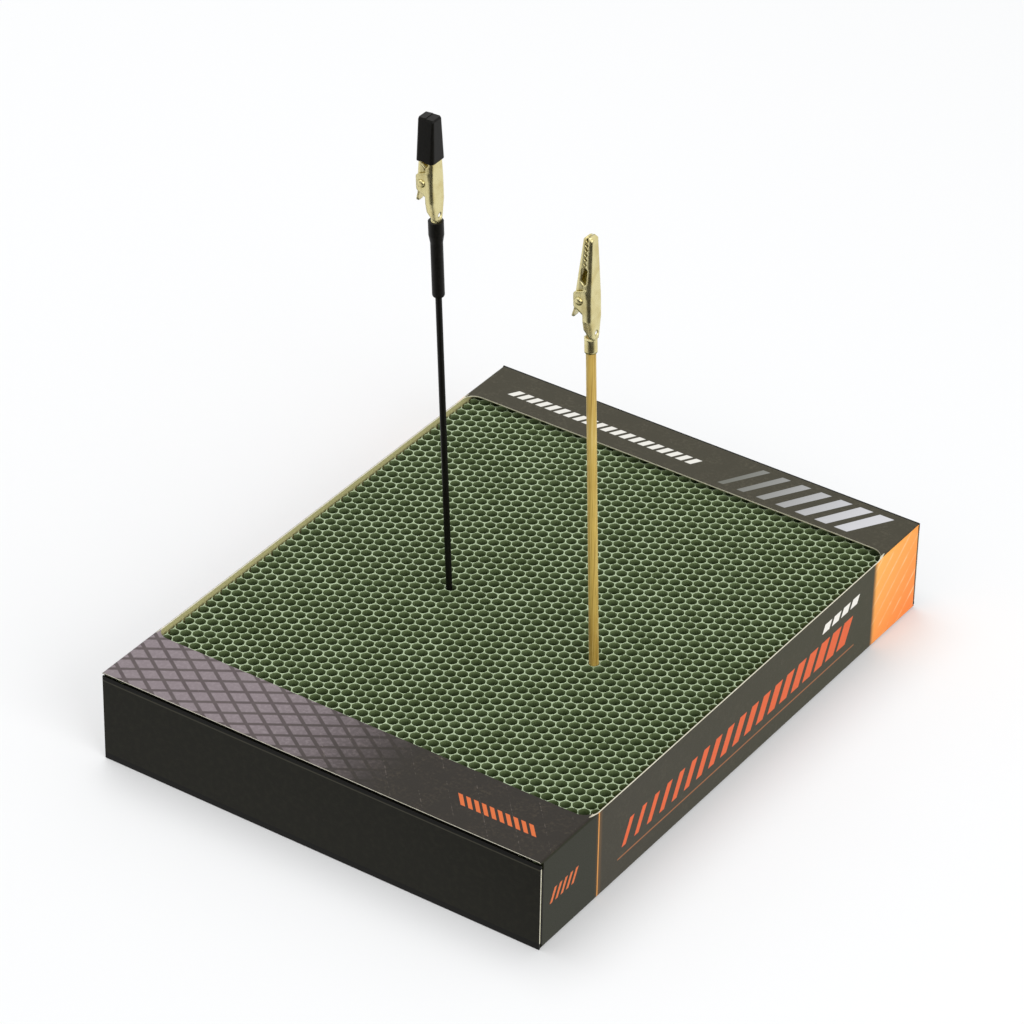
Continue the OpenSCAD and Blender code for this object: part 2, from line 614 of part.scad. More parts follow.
// Rubber boot drawn over the moving jaw
module cover_moving() {
  w = between(cover_z, straight_z, inner_w, jaw_l, inner_tip_w);
  back = between(cover_z, straight_z, moving_d, jaw_l, moving_tip_d);
  difference() {
    cover_form([w, inner_tip_w], [-back, -moving_tip_d], [-fixed_d(cover_z) - bite_gap, -tip_d - bite_gap]);
    moving_envelope(cover_gap, cover_gap);
  }
}

module clip_a_fixed_jaw() color(metal_col) on_rod() fixed_jaw(rod_barrel_r);
module clip_a_moving_jaw() color(metal_col) on_rod() opened(cover_open) moving_jaw();
module clip_a_pivot_rivet() color(metal_col) on_rod() pivot_rivet();
module clip_a_spring() color("#9a9a94") on_rod() clip_spring(cover_open);
module clip_a_cover_fixed() color(rubber_col) on_rod() cover_fixed();
module clip_a_cover_moving() color(rubber_col) on_rod() opened(cover_open) cover_moving();
module clip_b_fixed_jaw() color(metal_col) on_stick() fixed_jaw(stick_barrel_r);
module clip_b_moving_jaw() color(metal_col) on_stick() moving_jaw();
module clip_b_pivot_rivet() color(metal_col) on_stick() pivot_rivet();
module clip_b_spring() color("#9a9a94") on_stick() clip_spring(0);

carton_sleeve();
front_end_panel();
front_tuck_flap();
front_dust_flap_left();
front_dust_flap_right();
rear_end_panel();
rear_tuck_flap();
rear_dust_flap_left();
rear_dust_flap_right();
honeycomb_left();
honeycomb_middle();
honeycomb_right();
black_rod();
shrink_sleeve();
clip_a_fixed_jaw();
clip_a_moving_jaw();
clip_a_pivot_rivet();
clip_a_spring();
clip_a_cover_fixed();
clip_a_cover_moving();
bamboo_stick();
clip_b_fixed_jaw();
clip_b_moving_jaw();
clip_b_pivot_rivet();
clip_b_spring();
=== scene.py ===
import bmesh
import bpy
import numpy as np
from mathutils import Matrix, Vector


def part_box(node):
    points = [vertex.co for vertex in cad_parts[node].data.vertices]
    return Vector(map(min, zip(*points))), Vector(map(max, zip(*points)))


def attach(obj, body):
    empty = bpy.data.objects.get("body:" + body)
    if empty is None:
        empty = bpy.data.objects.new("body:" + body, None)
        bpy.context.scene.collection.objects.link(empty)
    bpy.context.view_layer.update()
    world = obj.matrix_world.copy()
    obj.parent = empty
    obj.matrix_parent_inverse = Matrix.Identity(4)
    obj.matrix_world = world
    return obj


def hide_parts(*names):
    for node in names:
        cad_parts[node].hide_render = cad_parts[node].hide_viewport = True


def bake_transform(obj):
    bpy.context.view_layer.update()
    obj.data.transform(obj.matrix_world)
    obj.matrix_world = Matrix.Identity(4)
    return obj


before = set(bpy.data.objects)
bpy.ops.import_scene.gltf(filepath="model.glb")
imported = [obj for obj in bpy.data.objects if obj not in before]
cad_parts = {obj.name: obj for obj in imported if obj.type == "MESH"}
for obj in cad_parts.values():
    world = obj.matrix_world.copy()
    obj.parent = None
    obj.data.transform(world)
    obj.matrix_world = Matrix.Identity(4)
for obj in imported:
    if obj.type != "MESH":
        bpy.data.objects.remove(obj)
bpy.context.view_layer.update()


# Carton sleeve: one sheet of solid bleached board, printed in offset and varnished, creased round
# four sides and glued along the left. The print is outside, the cut edges show the raw board, and
# the inside is unprinted. The sizes are millimetres: the fold's outer radius, the depths at which the
# ink and the raw board end, and the spacing of the board's fibres and waves.
sleeve_box = 1000 * np.array(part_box("carton_sleeve"))
BOX_W, BOX_L, BOX_H = (sleeve_box[1] - sleeve_box[0]).round(2).tolist()
END, FOLD_R = BOX_L / 2, 0.9
SKIN_FROM, SKIN_TO = 0.06, 0.1
LINER_FROM, LINER_TO = 0.43, 0.46
FIBRE, WAVE = 0.4545, 28.57


def linear(hex_colour):
    """sRGB hex to linear RGBA: c / 12.92 up to 0.04045, ((c + 0.055) / 1.055) ^ 2.4 above."""
    c = np.array([int(hex_colour[i:i + 2], 16) for i in (1, 3, 5)]) / 255
    return (*np.where(c <= 0.04045, c / 12.92, ((c + 0.055) / 1.055) ** 2.4).tolist(), 1.0)


def add(tree, kind, inputs=(), out=0, **settings):
    """Adds one shader node with its settings, input values and links, and gives one of its outputs."""
    node = tree.nodes.new("ShaderNode" + kind)
    for name, value in settings.items():
        setattr(node, name, value)
    for key, value in dict(inputs).items():
        if isinstance(value, bpy.types.NodeSocket):
            tree.links.new(value, node.inputs[key])
        else:
            node.inputs[key].default_value = value
    return node.outputs[out] if node.outputs else None


def finish_named(name):
    """An empty material with its tree, and the place in the object in millimetres."""
    material = bpy.data.materials.new(name)
    material.use_nodes = True
    tree = material.node_tree
    tree.nodes.clear()
    place = add(tree, "TexCoord", out=3)
    return material, tree, add(tree, "VectorMath", {0: place, 3: 1000.0}, operation="SCALE")


def surface(tree, **sockets):
    """Closes a material with one Principled shader whose sockets are named by words joined with _."""
    shader = add(tree, "BsdfPrincipled", {k.replace("_", " "): v for k, v in sockets.items()})
    add(tree, "OutputMaterial", {0: shader})


def band(tree, value, low, high, soft):
    """1 between low and high, falling to 0 over soft on either side: the product of two smooth ramps."""
    rise = add(tree, "MapRange", {0: value, 1: low - soft, 2: low + soft}, interpolation_type="SMOOTHSTEP")
    fall = add(tree, "MapRange", {0: value, 1: high + soft, 2: high - soft}, interpolation_type="SMOOTHSTEP")
    return add(tree, "Math", {0: rise, 1: fall}, operation="MULTIPLY")


def both(tree, *masks):
    """The product of masks."""
    result = masks[0]
    for mask in masks[1:]:
        result = add(tree, "Math", {0: result, 1: mask}, operation="MULTIPLY")
    return result


def painted(tree, colour, *layers):
    """Lays colours one over another, each where its mask is 1."""
    for mask, hex_colour in layers:
        over = hex_colour if isinstance(hex_colour, bpy.types.NodeSocket) else linear(hex_colour)
        colour = add(tree, "Mix", {0: mask, 6: colour, 7: over}, out=2, data_type="RGBA")
    return colour


def bar_row(tree, place, period, half_width, ends, cross, sides, soft=0.06):
    """A row of bars: 1 within half_width of the multiples of period along place, from the first of the ends
    to the second, and between the two sides across it. Soft is half the width of a bar's edge."""
    off = add(tree, "Math", {0: place, 1: period / 2}, operation="PINGPONG")
    within = add(tree, "Math", {0: half_width, 1: off}, operation="SUBTRACT")
    bar = add(tree, "MapRange", {0: within, 1: -soft, 2: soft})
    return both(tree, bar, band(tree, place, *ends, 0.03), band(tree, cross, *sides, 0.1))


def dress(material, *names):
    """Gives the solids of these names one material."""
    for name in names:
        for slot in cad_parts[name].material_slots:
            slot.material = material


def card_surface(tree, colour, mm, depth, crease):
    """Card: varnished print outside, pale fibrous board on the cut edges, and matt liner inside, pale board
    tinted olive yellow as painted bounce light from the green cells.
    The depth below the printed face, in millimetres, says which of them a point belongs to, and where
    crease is 1 the edge is a folded one and keeps its print. The fibres are drawn coarser than real ones,
    so that they show."""
    fibre = add(tree, "TexNoise", {"Vector": mm, "Scale": 1 / FIBRE, "Detail": 3.0})
    flecks = add(tree, "MapRange", {0: fibre, 1: 0.35, 2: 0.7})
    board = add(tree, "Mix", {0: flecks, 6: linear("#cfc9b2"), 7: linear("#e9e5d6")}, out=2, data_type="RGBA")
    # liner: pale board with an olive yellow tint of painted bounce light
    liner = add(tree, "Mix", {0: flecks, 6: linear("#bfb981"), 7: linear("#d4ce9b")}, out=2, data_type="RGBA")
    open_edge = add(tree, "Math", {0: 1.0, 1: crease}, operation="SUBTRACT")
    cut = both(tree, add(tree, "MapRange", {0: depth, 1: SKIN_FROM, 2: SKIN_TO}), open_edge)
    inside = both(tree, add(tree, "MapRange", {0: depth, 1: LINER_FROM, 2: LINER_TO}), open_edge)
    colour = painted(tree, colour, (cut, board), (inside, liner))
    wave = add(tree, "TexNoise", {"Vector": mm, "Scale": 1 / WAVE, "Detail": 1.0})
    relief = add(tree, "Math", {0: wave, 1: 6.0, 2: fibre}, operation="MULTIPLY_ADD")
    bump = add(tree, "Bump", {"Strength": 0.25, "Distance": 0.00004, "Height": relief})
    rough = add(tree, "MapRange", {0: fibre, 1: 0.2, 2: 0.8, 3: 0.42, 4: 0.56})
    rough = add(tree, "Math", {0: cut, 1: 0.4, 2: rough}, operation="MULTIPLY_ADD")
    surface(tree, Base_Color=colour, Roughness=rough, Normal=bump, Specular_IOR_Level=0.12)


# Offset print under a satin varnish: even dark inks with a soft sheen, a mottle of the ink in patches and
# grains, and bright orange areas. All places and sizes are millimetres on the carton.
INK_PATCH, INK_GRAIN, INK_SPECK = 6.25, 1.111, 2.0
sleeve_print, tree, mm = finish_named("offset_printed_carton_board")
x, y, z = (add(tree, "SeparateXYZ", {0: mm}, out=i) for i in range(3))

# depth below the sleeve's outside, a rectangle with round corners: r - |max(q, 0)| - min(max(qx, qz), 0),
# where q is how far a point lies past the centre of its corner
half_x = add(tree, "Math", {0: x}, operation="ABSOLUTE")
from_mid = add(tree, "Math", {0: z, 1: BOX_H / 2}, operation="SUBTRACT")
half_z = add(tree, "Math", {0: from_mid}, operation="ABSOLUTE")
qx = add(tree, "Math", {0: half_x, 1: BOX_W / 2 - FOLD_R}, operation="SUBTRACT")
qz = add(tree, "Math", {0: half_z, 1: BOX_H / 2 - FOLD_R}, operation="SUBTRACT")
px = add(tree, "Math", {0: qx, 1: 0.0}, operation="MAXIMUM")
pz = add(tree, "Math", {0: qz, 1: 0.0}, operation="MAXIMUM")
round_off = add(tree, "VectorMath", {0: add(tree, "CombineXYZ", {0: px, 1: pz})}, out=1, operation="LENGTH")
past = add(tree, "Math", {0: qx, 1: qz}, operation="MAXIMUM")
flat_off = add(tree, "Math", {0: past, 1: 0.0}, operation="MINIMUM")
outer = add(tree, "Math", {0: FOLD_R, 1: round_off}, operation="SUBTRACT")
depth = add(tree, "Math", {0: outer, 1: flat_off}, operation="SUBTRACT")
on_side = add(tree, "Math", {0: qx, 1: qz}, operation="GREATER_THAN")
upper = add(tree, "MapRange", {0: z, 1: BOX_H / 2 - 1.0, 2: BOX_H / 2 + 1.0})

mottle = add(tree, "TexNoise", {"Vector": mm, "Scale": 1 / INK_PATCH, "Detail": 6.0, "Roughness": 0.62})
fine = add(tree, "TexNoise", {"Vector": mm, "Scale": 1 / INK_GRAIN, "Detail": 4.0})
dapple = add(tree, "MapRange", {0: mottle, 1: 0.4, 2: 0.68})
grain = add(tree, "MapRange", {0: fine, 1: 0.45, 2: 0.7})
slant = add(tree, "Math", {0: y, 1: 0.9, 2: x}, operation="MULTIPLY_ADD")

# front strip: grey violet on the left with a quilt of pale lozenges, running into a dark mottle
LOZENGE_W, LOZENGE_L = 9.0, 6.0
to_left = add(tree, "MapRange", {0: x, 1: 22.0, 2: -40.0}, interpolation_type="SMOOTHSTEP")
quilt = add(tree, "CombineXYZ", {0: add(tree, "Math", {0: x, 1: LOZENGE_W}, operation="DIVIDE"),
                                 1: add(tree, "Math", {0: y, 1: LOZENGE_L}, operation="DIVIDE")})
across = add(tree, "VectorMath", {0: quilt, 1: (1.0, 1.0, 0.0)}, out=1, operation="DOT_PRODUCT")
along = add(tree, "VectorMath", {0: quilt, 1: (1.0, -1.0, 0.0)}, out=1, operation="DOT_PRODUCT")
across = add(tree, "Math", {0: across, 1: 0.5}, operation="PINGPONG")
along = add(tree, "Math", {0: along, 1: 0.5}, operation="PINGPONG")
seam_gap = add(tree, "Math", {0: across, 1: along}, operation="MINIMUM")
lozenge = both(tree, add(tree, "MapRange", {0: seam_gap, 1: 0.09, 2: 0.14}), to_left)
scratch = add(tree, "Math", {0: slant, 1: 5.4}, operation="PINGPONG")
scratch = both(tree, add(tree, "MapRange", {0: scratch, 1: 0.16, 2: 0.05}), grain, dapple)
front_mark = bar_row(tree, slant, period=2.6, half_width=0.75, ends=(-40.3, -14.3),
                     cross=y, sides=(-91.5, -87.5))
front_ink = painted(tree, linear("#2e2a25"), (both(tree, dapple, grain), "#443d33"), (to_left, "#5f5656"),
                    (both(tree, to_left, dapple), "#584e50"), (lozenge, "#877c80"),
                    (both(tree, lozenge, grain), "#91868a"), (scratch, "#857c76"), (front_mark, "#d9703f"))

# rear strip: dark, with a row of small white bars and slanting grey bars that widen towards the right
to_right = add(tree, "MapRange", {0: x, 1: 8.0, 2: 70.0}, interpolation_type="SMOOTHSTEP")
rear_slant = add(tree, "Math", {0: y, 1: -0.6, 2: x}, operation="MULTIPLY_ADD")
wider = add(tree, "MapRange", {0: x, 1: 8.0, 2: 70.0, 3: 0.8, 4: 2.6})
bars = bar_row(tree, rear_slant, period=7.0, half_width=wider, ends=(-38.5, 10.5),
               cross=y, sides=(83.5, 97.0))
white_bars = bar_row(tree, rear_slant, period=3.4, half_width=1.1, ends=(-117.3, -49.3),
                     cross=y, sides=(87.0, 90.5))
rear_ink = painted(tree, linear("#403d31"), (both(tree, dapple, grain), "#534f41"), (scratch, "#5c554f"),
                   (bars, "#6b6c63"), (both(tree, bars, to_right), "#d2d2d6"), (white_bars, "#e9e7e0"))
at_rear = add(tree, "MapRange", {0: y, 1: -1.0, 2: 1.0})
top_ink = painted(tree, front_ink, (at_rear, rear_ink))

# sides: olive brown with rows of slanting bars that grow to the rear, an orange rule before them and an
# orange field behind them
RULE_Y = -72.0
side_slant = add(tree, "Math", {0: z, 1: -0.5, 2: y}, operation="MULTIPLY_ADD")
front_field = add(tree, "MapRange", {0: y, 1: RULE_Y + 0.1, 2: RULE_Y - 0.1})
rule = band(tree, y, RULE_Y - 0.2, RULE_Y + 0.3, 0.12)
halo = band(tree, y, RULE_Y, RULE_Y + 0.8, 1.5)
olive = add(tree, "MapRange", {0: y, 1: -60.0, 2: 60.0})
growing = add(tree, "MapRange", {0: y, 1: -60.0, 2: 66.0, 3: 1.0, 4: 2.5})
large = bar_row(tree, side_slant, period=6.4, half_width=growing, ends=(-67.2, 54.4),
                cross=z, sides=(10.0, 18.0))
small = bar_row(tree, side_slant, period=5.2, half_width=1.9, ends=(33.8, 54.6), cross=z, sides=(21.2, 24.0))
mark = bar_row(tree, side_slant, period=2.6, half_width=0.6, ends=(-102.7, -89.7),
               cross=z, sides=(13.0, 17.5))
low_rule = both(tree, band(tree, y, -62.0, 64.0, 0.3), band(tree, z, 6.6, 7.1, 0.1))
orange = add(tree, "MapRange", {0: y, 1: 73.4, 2: 76.2}, interpolation_type="SMOOTHSTEP")
lower = add(tree, "Math", {0: z, 1: -1.0, 2: y}, operation="MULTIPLY_ADD")
lower = add(tree, "MapRange", {0: lower, 1: 50.0, 2: 96.0})
streak = add(tree, "Math", {0: z, 1: -1.3, 2: y}, operation="MULTIPLY_ADD")
streak = add(tree, "Math", {0: streak, 1: 4.0}, operation="PINGPONG")
streak = add(tree, "MapRange", {0: streak, 1: 0.9, 2: 0.2}, interpolation_type="SMOOTHSTEP")
streak = both(tree, streak, orange, dapple)
side_ink = painted(tree, linear("#3b382d"), (olive, "#3e3d2c"), (both(tree, dapple, grain), "#474335"),
                   (front_field, "#2b2c20"), (halo, "#7d5a34"), (rule, "#e0994c"), (mark, "#d9703f"),
                   (large, "#e3663a"), (low_rule, "#9a6440"), (small, "#f0eee6"),
                   (orange, "#ffb45a"), (both(tree, orange, lower), "#ff8a3a"), (streak, "#ffd09a"))

# creases keep their print: the sides' ends, the rear panel's above and the front panel's below
half_y = add(tree, "Math", {0: y}, operation="ABSOLUTE")
side_end = both(tree, on_side, add(tree, "MapRange", {0: half_y, 1: END - 1.7, 2: END - 1.6}))
rear_hinge = both(tree, upper, add(tree, "MapRange", {0: y, 1: END - 1.0, 2: END - 0.9}))
front_hinge = add(tree, "MapRange", {0: y, 1: 1.0 - END, 2: 0.9 - END})
front_hinge = add(tree, "Math", {0: front_hinge, 1: upper}, operation="SUBTRACT", use_clamp=True)
creased = add(tree, "Math", {0: side_end, 1: rear_hinge}, operation="MAXIMUM")
creased = add(tree, "Math", {0: creased, 1: front_hinge}, operation="MAXIMUM")

# the front strip's cut edge: a thin pale line above, and below it painted shade, near black, for the dark of
# the slit
lip_face = add(tree, "MapRange", {0: y, 1: 0.2 - END, 2: 0.1 - END})
lip_shade = add(tree, "MapRange", {0: depth, 1: 0.27, 2: 0.3})
slit_painted_shade = both(tree, upper, lip_face, lip_shade)
flat_ink = painted(tree, linear("#24221e"), (upper, top_ink))
# painted shade: the slit's near black goes over the lower part of the strip's cut edge
ink = painted(tree, flat_ink, (on_side, side_ink), (slit_painted_shade, "#0b0a08"))
creased = add(tree, "Math", {0: creased, 1: slit_painted_shade}, operation="MAXIMUM")
card_surface(tree, ink, mm, depth, creased)
dress(sleeve_print, "carton_sleeve")


# End panels with their tuck flaps and the dust flaps: the same board, printed plain black outside.
# The end panels hinge on the sleeve by their creases; the flaps tuck in behind the strips.
def plain_card(name, outward, level, fold, low, high):
    """Board printed plain black on the face where outward(x, y, z), in millimetres, reaches level.
    Its folds lie where fold(x, y, z) is below low or above high and are painted near black as shade, and a
    painted highlight, a paler band, runs beside the upper fold, where the board bends. The ink is specked."""
    painted_highlight_from, painted_highlight_to = high - 0.55, high - 0.2
    material, tree, mm = finish_named(name)
    x, y, z = (add(tree, "SeparateXYZ", {0: mm}, out=i) for i in range(3))
    flat = band(tree, fold(tree, x, y, z), low, high, 0.02)
    creased = add(tree, "Math", {0: 1.0, 1: flat}, operation="SUBTRACT")
    depth = add(tree, "Math", {0: level, 1: outward(tree, x, y, z)}, operation="SUBTRACT")
    speck = add(tree, "TexNoise", {"Vector": mm, "Scale": 1 / INK_SPECK, "Detail": 5.0})
    speck = add(tree, "MapRange", {0: speck, 1: 0.45, 2: 0.75})
    # painted highlight: a paler band just short of the upper fold
    bend = band(tree, fold(tree, x, y, z), painted_highlight_from, painted_highlight_to, 0.15)
    # painted shade: near black in the folds
    ink = painted(tree, linear("#15140b"), (speck, "#1d1c12"), (creased, "#0a0906"), (bend, "#3d3b31"))
    card_surface(tree, ink, mm, depth, creased)
    return material


def along_length(tree, x, y, z):
    """Distance from the middle along the carton: |y|."""
    return add(tree, "Math", {0: y}, operation="ABSOLUTE")


def across_width(tree, x, y, z):
    """Distance from the middle across the carton: |x|."""
    return add(tree, "Math", {0: x}, operation="ABSOLUTE")


def upward(tree, x, y, z):
    """Height."""
    return z


def downward(tree, x, y, z):
    """Height, counted down."""
    return add(tree, "Math", {0: z, 1: -1.0}, operation="MULTIPLY")


# where the folds begin, and where the printed faces lie
PANEL_FOLDS, DUST_FOLD, TUCK_FOLD, NO_FOLD = (2.0, 27.5), BOX_W / 2 - 0.7, END - 0.8, -1.0
DUST_FACE = float(-1000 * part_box("front_dust_flap_left")[0][1])
FRONT_TUCK_FACE = float(1000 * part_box("front_tuck_flap")[1][2])
REAR_TUCK_FACE = float(1000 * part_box("rear_tuck_flap")[0][2])
end_card = plain_card("black_printed_end_panel_board", along_length, END, upward, *PANEL_FOLDS)
dust_card = plain_card("black_printed_dust_flap_board", along_length, DUST_FACE,
                       across_width, NO_FOLD, DUST_FOLD)
front_tuck_card = plain_card("black_printed_front_tuck_board", upward, FRONT_TUCK_FACE,
                             along_length, NO_FOLD, TUCK_FOLD)
rear_tuck_card = plain_card("black_printed_rear_tuck_board", downward, -REAR_TUCK_FACE,
                            along_length, NO_FOLD, TUCK_FOLD)
dress(end_card, "front_end_panel", "rear_end_panel")
for end in ("front", "rear"):
    dress(dust_card, end + "_dust_flap_left", end + "_dust_flap_right")
dress(front_tuck_card, "front_tuck_flap")
dress(rear_tuck_card, "rear_tuck_flap")


# Honeycomb block: extruded polypropylene tubes welded side by side and cut to length, so the cells are
# round with slightly flattened sides and thin shared walls. It lies loose in the carton.
PITCH = 3.5e-3
COLUMN = PITCH * np.sqrt(3) / 2
FIRST_CELL = np.array([0.6e-3, -0.65e-3])
WALL_HALF, CORNER_POWER, CORNER_DIP = 0.08e-3, 6.0, 0.12e-3
LIP, LIP_DEPTH, SAG_LEAST, SAG_MOST = 0.03e-3, 0.2e-3, 0.01e-3, 0.07e-3
APOTHEM_SPREAD, CENTRE_SPREAD = 0.025e-3, 0.025e-3
SAMPLES, HALF_ROWS = 12, 30
MERGE_GRID, CUT_GRID, SHARP_ANGLE = 1e-7, 1e-8, np.radians(42)
block_low = np.min([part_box(n)[0] for n in ("honeycomb_left", "honeycomb_right")], axis=0)
block_high = np.max([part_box(n)[1] for n in ("honeycomb_left", "honeycomb_right")], axis=0)
draws = np.random.default_rng(7)


def cells_mesh(name, columns):
    """Cells on a staggered grid. Each is a hexagonal tile with a hole of the radius
    (sum of |cos(t - 30 - 60k) / a| ^ p) ^ (-1 / p), a hexagon with rounded corners. Rings join the tile's
    edge, which dips where three cells meet, the rim, the wall and the underside. Four planes then cut the
    tiles to the block's sides, through the outer cells, and the cut walls are capped."""
    rows = np.arange(-HALF_ROWS, HALF_ROWS + 1)
    i, j = (g.ravel() for g in np.meshgrid(columns, rows, indexing="ij"))
    centre = FIRST_CELL + np.stack([i * COLUMN, (j + 0.5 * (i % 2)) * PITCH], 1)
    reach = np.array([PITCH / np.sqrt(3), PITCH / 2])
    low, high = block_low[:2], block_high[:2]
    centre = centre[np.all((centre > low - reach) & (centre < high + reach), 1)]
    n = len(centre)
    t = np.arange(SAMPLES) * 2 * np.pi / SAMPLES
    ray = np.stack([np.cos(t), np.sin(t)], 1)
    tile = np.where(np.arange(SAMPLES) % 2 == 0, PITCH / np.sqrt(3), PITCH / 2)
    apothem = PITCH / 2 - WALL_HALF + draws.normal(0, APOTHEM_SPREAD, (n, 1))
    faces_at = np.radians(30 + 60 * np.arange(6))
    turned = np.abs(np.cos(t[:, None] - faces_at))
    radius = (np.sum(turned ** CORNER_POWER, 1) / 2) ** (-1 / CORNER_POWER) * apothem
    shift = centre + draws.normal(0, CENTRE_SPREAD, (n, 2))
    edge = centre[:, None] + tile[:, None] * ray
    hole = shift[:, None] + radius[..., None] * ray
    lip = shift[:, None] + (radius[..., None] + LIP) * ray
    top, bottom = block_high[2], block_low[2]
    sag = draws.uniform(SAG_LEAST, SAG_MOST, (n, 1))
    dip = np.where(np.arange(SAMPLES) % 2 == 0, CORNER_DIP, 0.0)
    rings = [(edge, np.tile(top - dip, (n, 1))), (lip, top - sag), (hole, top - sag - LIP_DEPTH),
             (hole, np.full((n, 1), bottom)), (edge, np.full((n, 1), bottom))]
    points = np.stack([np.concatenate([flat, np.broadcast_to(height[..., None], (n, SAMPLES, 1))], 2)
                       for flat, height in rings])
    index = np.arange(points[..., 0].size).reshape(points.shape[:3])
    after = np.roll(index, -1, axis=2)
    quads = [np.stack([index[r], after[r], after[r + 1], index[r + 1]], -1).reshape(-1, 4) for r in range(4)]
    middle = (points[0] + np.roll(points[0], -1, axis=1))[..., :2].reshape(-1, 2) / 2
    middle = np.round(middle / MERGE_GRID).astype(int)
    _, back, count = np.unique(middle, axis=0, return_inverse=True, return_counts=True)
    side = np.stack([index[4], after[4], after[0], index[0]], -1).reshape(-1, 4)
    quads = np.concatenate(quads + [side[count[back.ravel()] == 1]])
    steps = np.round(points.reshape(-1, 3) / MERGE_GRID).astype(int)
    kept, same = np.unique(steps, axis=0, return_inverse=True)
    mesh = bpy.data.meshes.new(name)
    mesh.from_pydata((kept * MERGE_GRID).tolist(), [], same.ravel()[quads].tolist())
    block = bmesh.new()
    block.from_mesh(mesh)
    for axis, wall, outward in ((0, low, -1), (0, high, 1), (1, low, -1), (1, high, 1)):
        across = np.eye(3)[axis]
        everything = block.verts[:] + block.edges[:] + block.faces[:]
        cut = bmesh.ops.bisect_plane(block, geom=everything, dist=CUT_GRID, plane_co=wall[axis] * across,
                                     plane_no=outward * across, clear_outer=True)
        bmesh.ops.holes_fill(block, edges=[e for e in cut["geom_cut"] if isinstance(e, bmesh.types.BMEdge)])
    bmesh.ops.triangulate(block, faces=block.faces[:])
    bmesh.ops.recalc_face_normals(block, faces=block.faces[:])
    block.to_mesh(mesh)
    block.free()
    mesh.polygons.foreach_set("use_smooth", np.ones(len(mesh.polygons), bool))
    mesh.set_sharp_from_angle(angle=SHARP_ANGLE)
    piece = bpy.data.objects.new(name, mesh)
    bpy.context.scene.collection.objects.link(piece)
    return piece


# Pigmented polypropylene, hot-cut: a slightly glossy mid green, a little cloudy and nicked by the cut. The
# milky pale green on the cut rims, with paler glints, is a painted highlight, and the deeper green down the
# cells is painted shade.
TOP, CLOUD, NICK = float(1000 * block_high[2]), 16.667, 0.7143
honeycomb_green, tree, mm = finish_named("extruded_green_polypropylene")
z = add(tree, "SeparateXYZ", {0: mm}, out=2)
rim = add(tree, "MapRange", {0: z, 1: TOP - 0.16, 2: TOP - 0.04}, interpolation_type="SMOOTHSTEP")
down = add(tree, "MapRange", {0: z, 1: TOP - 0.2, 2: TOP - 2.7})
patch = add(tree, "TexNoise", {"Vector": mm, "Scale": 1 / CLOUD, "Detail": 3.0})
patch = add(tree, "MapRange", {0: patch, 1: 0.35, 2: 0.7})
tiny = add(tree, "TexNoise", {"Vector": mm, "Scale": 1 / NICK, "Detail": 3.0})
rim_painted_glint = both(tree, rim, add(tree, "MapRange", {0: tiny, 1: 0.5, 2: 0.75}))
# painted highlight and glints on the rims, painted shade down the cells
tint = painted(tree, linear("#74855a"), (patch, "#6b7b50"), (down, "#505f3c"), (rim, "#a9bb96"),
               (rim_painted_glint, "#c3d2b2"))
gloss = add(tree, "MapRange", {0: tiny, 1: 0.3, 2: 0.7, 3: 0.34, 4: 0.52})
nick = add(tree, "Bump", {"Strength": 0.3, "Distance": 0.00005, "Height": tiny})
surface(tree, Base_Color=tint, Roughness=gloss, IOR=1.49, Normal=nick)
for third, first, past_last in (("left", -26, -8), ("middle", -8, 8), ("right", 8, 27)):
    piece = cells_mesh("cells_" + third, np.arange(first, past_last))
    piece.data.materials.append(honeycomb_green)
    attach(piece, "carton")
    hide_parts("honeycomb_" + third)


# Black rod: steel wire cut to length and enamelled. It stands loosely in its cell.
# Enamel: near black with a satin sheen and faint runs along the rod.
RUN_WIDTH, RUN_LENGTH = 0.625, 8.333
rod_enamel, tree, mm = finish_named("black_enamelled_wire")
runs = add(tree, "Mapping", {0: mm, 3: (1 / RUN_WIDTH, 1 / RUN_WIDTH, 1 / RUN_LENGTH)})
runs = add(tree, "TexNoise", {"Vector": runs, "Scale": 1.0, "Detail": 4.0})
worn = add(tree, "MapRange", {0: runs, 1: 0.5, 2: 0.8})
colour = painted(tree, linear("#0c0b08"), (worn, "#151410"))
rough = add(tree, "MapRange", {0: runs, 1: 0.3, 2: 0.7, 3: 0.3, 4: 0.46})
bump = add(tree, "Bump", {"Strength": 0.2, "Distance": 0.00003, "Height": runs})
surface(tree, Base_Color=colour, Roughness=rough, Normal=bump, Specular_IOR_Level=0.16)
dress(rod_enamel, "black_rod")


# Shrink sleeve and tip covers: a polyolefin tube shrunk over the clip's barrel, and dipped rubber boots
# pulled over the jaws of the first clip.
# Soft black plastic: satin, near black, with a finely dimpled skin.
DIMPLE = 0.5556
soft_black, tree, mm = finish_named("black_shrink_rubber")
skin = add(tree, "TexNoise", {"Vector": mm, "Scale": 1 / DIMPLE, "Detail": 4.0})
worn = add(tree, "MapRange", {0: skin, 1: 0.45, 2: 0.75})
colour = painted(tree, linear("#0c0b08"), (worn, "#15140f"))
rough = add(tree, "MapRange", {0: skin, 1: 0.3, 2: 0.7, 3: 0.32, 4: 0.46})
bump = add(tree, "Bump", {"Strength": 0.3, "Distance": 0.00005, "Height": skin})
surface(tree, Base_Color=colour, Roughness=rough, Normal=bump, Specular_IOR_Level=0.14)
dress(soft_black, "shrink_sleeve", "clip_a_cover_fixed", "clip_a_cover_moving")


